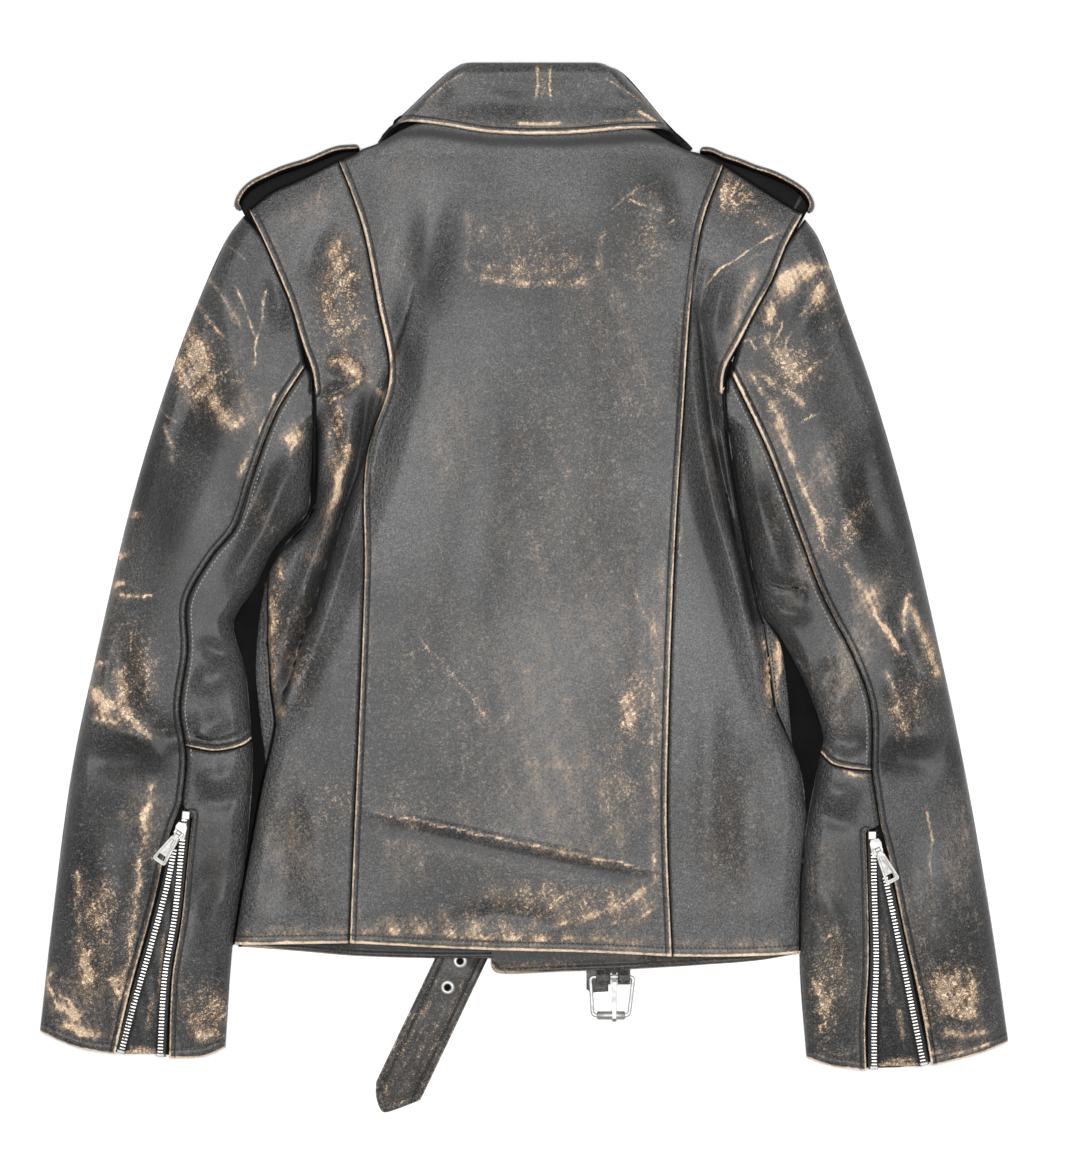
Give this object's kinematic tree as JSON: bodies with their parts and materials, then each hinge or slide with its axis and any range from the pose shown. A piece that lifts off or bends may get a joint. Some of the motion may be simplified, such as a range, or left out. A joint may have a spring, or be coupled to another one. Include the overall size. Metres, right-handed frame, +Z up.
{
  "type": "worn leather motorcycle jacket laid flat",
  "caption": "Worn black leather jacket laid flat with its back up: princess seams, folded collar, epaulettes, zipped cuffs and a loose buckled hem belt.",
  "frame": {"origin": "centre of the outline in plan, on the surface that the jacket lies on", "axes": "+Z up out of the back panel, +Y from hem to collar, +X towards the right sleeve"},
  "size_m": [0.768, 0.83, 0.0319],
  "materials": {
    "leather": "worn satin with tan scuffs",
    "leather_belt": "dull, scuffed brown",
    "leather_inner": "plain dark",
    "zip_tape": "woven tape",
    "nickel": "polished nickel"
  },
  "bodies": {
    "jacket": {"back_center": "leather", "back_side_left": "leather", "back_side_right": "leather", "front_left": "leather_inner", "front_right": "leather_inner", "lapel_left": "leather_inner", "lapel_right": "leather_inner", "front_zip": "zip_tape", "collar_leaf": "leather", "collar_stand": "leather_inner", "collar_front_left": "leather_inner", "collar_front_right": "leather_inner", "sleeve_outer_left": "leather", "sleeve_under_upper_left": "leather", "sleeve_under_lower_left": "leather", "cuff_zip_tape_outer_left": "zip_tape", "cuff_zip_tape_inner_left": "zip_tape", "cuff_gusset_left": "leather", "cuff_slider_left": "nickel", "epaulette_left": "leather", "sleeve_outer_right": "leather", "sleeve_under_upper_right": "leather", "sleeve_under_lower_right": "leather", "cuff_zip_tape_outer_right": "zip_tape", "cuff_zip_tape_inner_right": "zip_tape", "cuff_gusset_right": "leather", "cuff_slider_right": "nickel", "epaulette_right": "leather", "belt_tongue": "leather_belt", "belt_eyelet_1": "nickel", "belt_eyelet_2": "nickel", "buckle_strap": "leather_belt", "buckle_keeper": "leather_belt"},
    "pull_tab_left": {"cuff_pull_tab_left": "nickel"},
    "pull_tab_right": {"cuff_pull_tab_right": "nickel"},
    "buckle": {"buckle_frame": "nickel"},
    "roller": {"buckle_roller": "nickel"},
    "prong": {"buckle_prong": "nickel"}
  },
  "joints": [
    {"name": "left_tab_flip", "type": "hinge", "parent": "jacket", "child": "pull_tab_left", "pos_m": [-0.27217, -0.19162, 0.02494], "axis": [-0.8123, 0.5832, 0], "range_deg": [0, 150]},
    {"name": "right_tab_flip", "type": "hinge", "parent": "jacket", "child": "pull_tab_right", "pos_m": [0.27889, -0.20479, 0.02478], "axis": [-0.896, -0.444, 0], "range_deg": [0, 150]},
    {"name": "buckle_swing", "type": "hinge", "parent": "jacket", "child": "buckle", "pos_m": [0.0706, -0.3072, 0.0045], "axis": [-1, 0, 0], "range_deg": [0, 70]},
    {"name": "prong_swing", "type": "hinge", "parent": "buckle", "child": "prong", "pos_m": [0.0715, -0.3072, 0.0045], "axis": [-1, 0, 0], "range_deg": [0, 30]},
    {"name": "roller_spin", "type": "hinge", "parent": "buckle", "child": "roller", "pos_m": [0.069, -0.3376, 0.0045], "axis": [1, 0, 0], "continuous": true}
  ]
}
